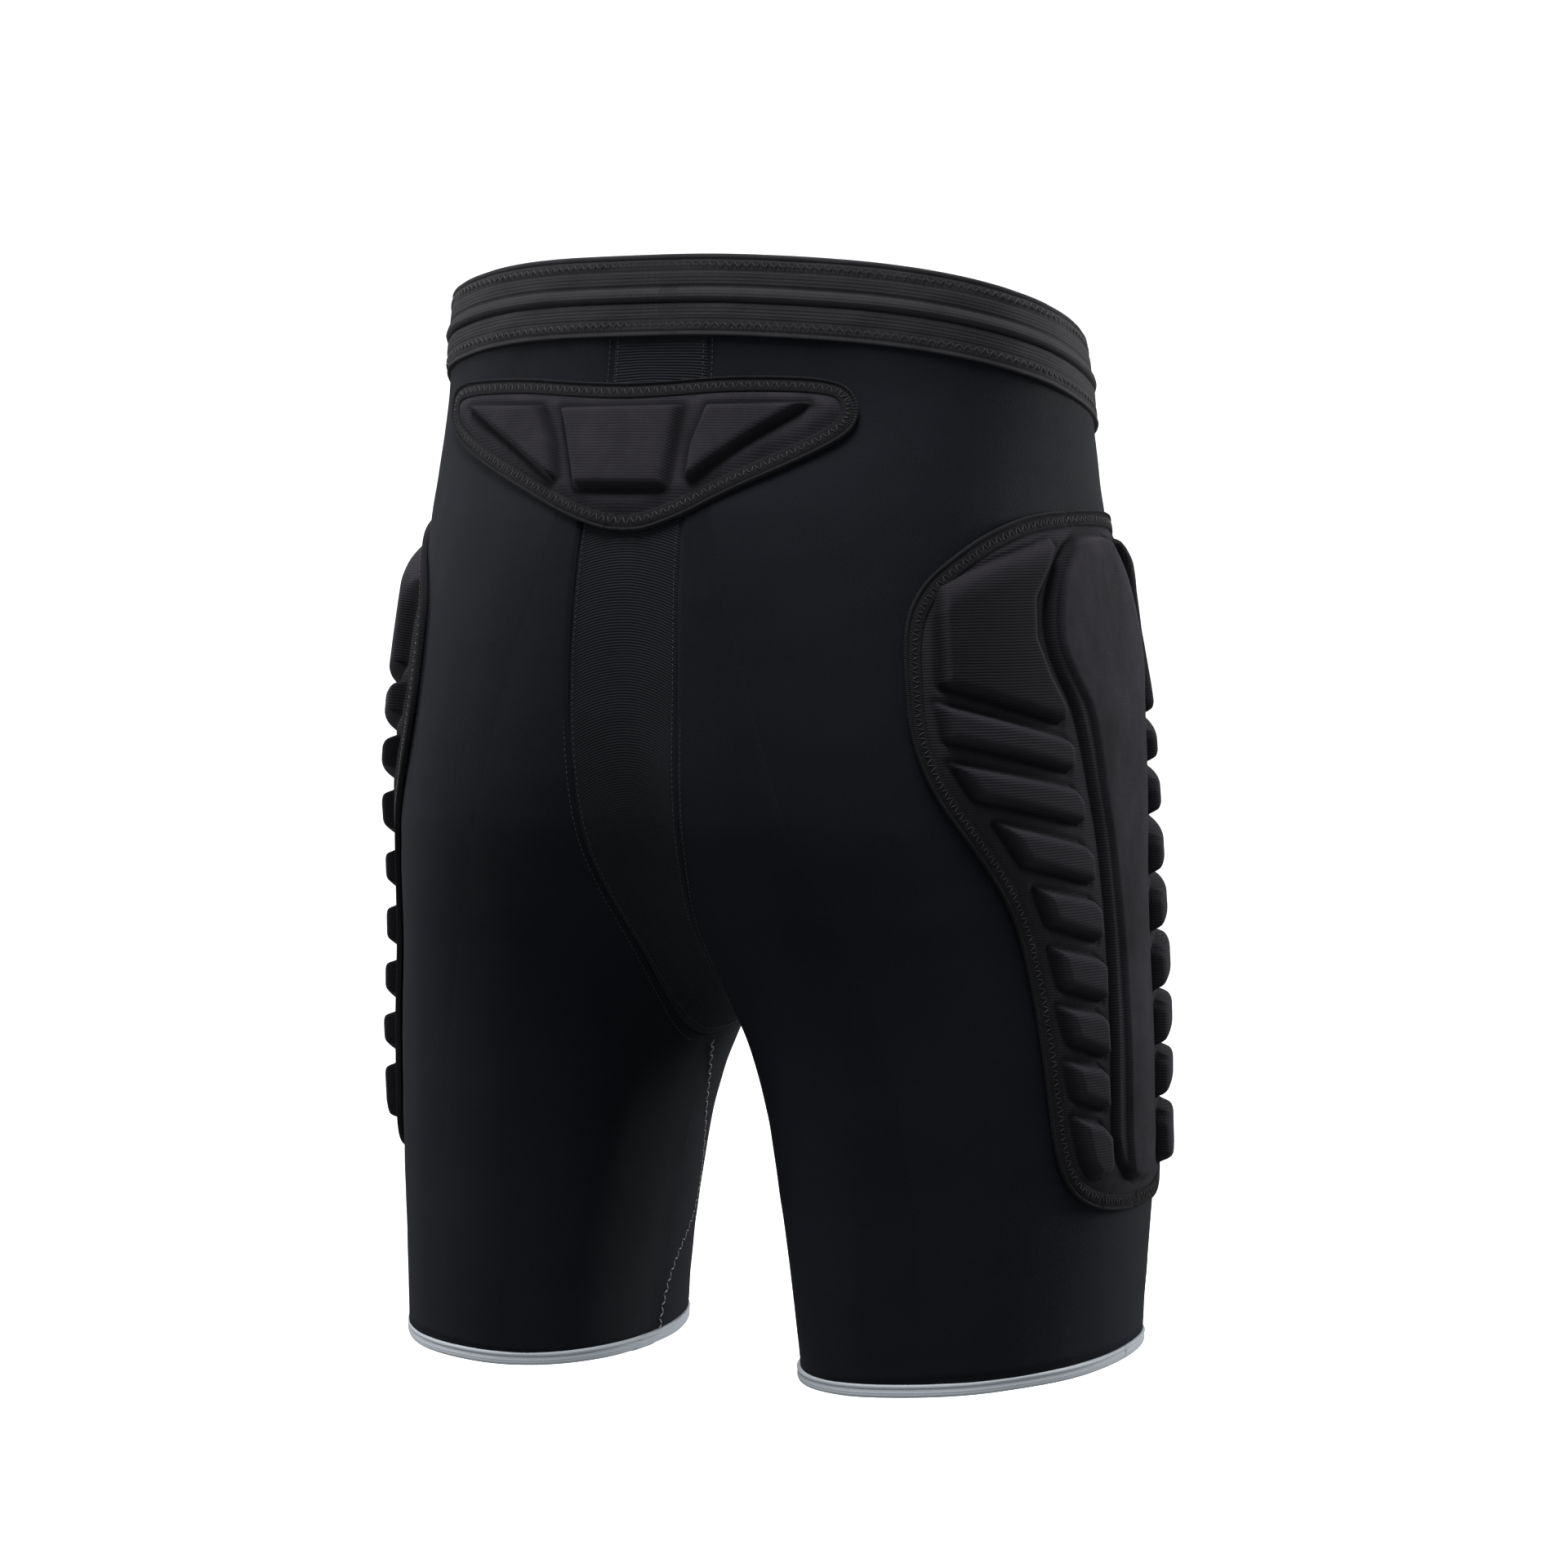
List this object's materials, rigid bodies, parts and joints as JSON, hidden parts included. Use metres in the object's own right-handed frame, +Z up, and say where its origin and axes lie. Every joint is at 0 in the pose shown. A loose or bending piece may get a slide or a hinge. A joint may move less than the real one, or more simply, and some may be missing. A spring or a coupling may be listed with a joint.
{
  "type": "padded hip protection shorts",
  "caption": "Mid-thigh stretch shorts with a moulded foam pad down each hip and thigh, a small pad over the tailbone, a wide elastic waistband and banded hems.",
  "frame": {"origin": "centre of the waist opening, level with the waistband's top edge at the sides, on the mid-plane", "axes": "+Z up along the standing wearer, +X to the wearer's left, +Y to the wearer's back"},
  "size_m": [0.3912, 0.2532, 0.5138],
  "materials": {
    "shell_cloth": "smooth stretch knit, bluish black",
    "gusset_cloth": "finely ribbed stretch knit, bluish black",
    "elastic": "ribbed elastic webbing, charcoal",
    "pad_cloth": "fine brushed knit over moulded foam, warm black",
    "binding_tape": "folded knit binding with a zigzag stitch, black",
    "hem_elastic": "narrow elastic, light grey"
  },
  "bodies": {
    "root": {"leg_panel_left": "shell_cloth", "leg_panel_right": "shell_cloth", "gusset": "gusset_cloth", "waistband_upper": "elastic", "waistband_lower": "elastic", "hem_band_left": "hem_elastic", "hem_band_right": "hem_elastic", "side_pad_left": "pad_cloth", "side_pad_right": "pad_cloth", "back_pad": "pad_cloth", "side_pad_binding_left": "binding_tape", "side_pad_binding_right": "binding_tape", "back_pad_binding": "binding_tape"}
  },
  "joints": []
}
